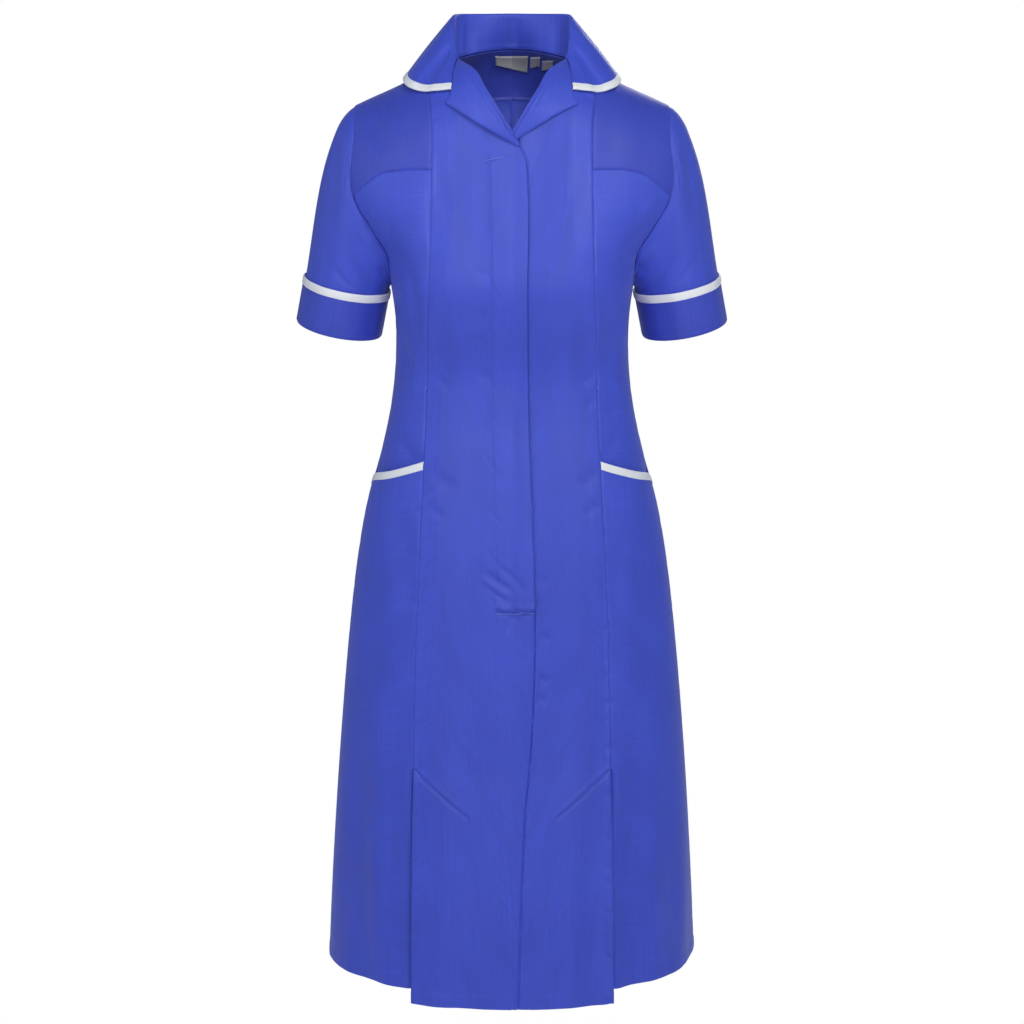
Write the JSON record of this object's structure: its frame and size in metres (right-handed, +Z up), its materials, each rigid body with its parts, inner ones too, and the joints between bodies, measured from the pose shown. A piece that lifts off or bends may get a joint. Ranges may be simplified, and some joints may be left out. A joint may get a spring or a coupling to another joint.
{
  "type": "nurse uniform dress",
  "caption": "Short-sleeved nurse uniform dress in royal blue twill with a notched collar, white bindings, slanted bound pockets and front kick pleats, filled out and empty.",
  "frame": {"origin": "middle of the neck opening, at the height of the shoulder seams' neck ends, where the wearer's shoulders hold the dress", "axes": "+Z up, -Y out of the dress's front, +X to the wearer's left"},
  "size_m": [0.4956, 0.3477, 1.1042],
  "materials": {
    "royal_twill": "matt twill",
    "white_tape": "matt woven tape",
    "label_cloth": "matt woven label"
  },
  "bodies": {
    "root": {"front_right": "royal_twill", "lapel_right": "royal_twill", "shoulder_panel_right": "royal_twill", "side_front_right": "royal_twill", "side_skirt_right": "royal_twill", "pocket_binding_right": "white_tape", "back_right": "royal_twill", "sleeve_right": "royal_twill", "cuff_right": "royal_twill", "cuff_binding_right": "white_tape", "front_left": "royal_twill", "lapel_left": "royal_twill", "shoulder_panel_left": "royal_twill", "side_front_left": "royal_twill", "side_skirt_left": "royal_twill", "pocket_binding_left": "white_tape", "back_left": "royal_twill", "sleeve_left": "royal_twill", "cuff_left": "royal_twill", "cuff_binding_left": "white_tape", "back_yoke": "royal_twill", "collar": "royal_twill", "collar_binding": "white_tape", "neck_label": "label_cloth", "size_tab_a": "label_cloth", "size_tab_b": "label_cloth"}
  },
  "joints": []
}
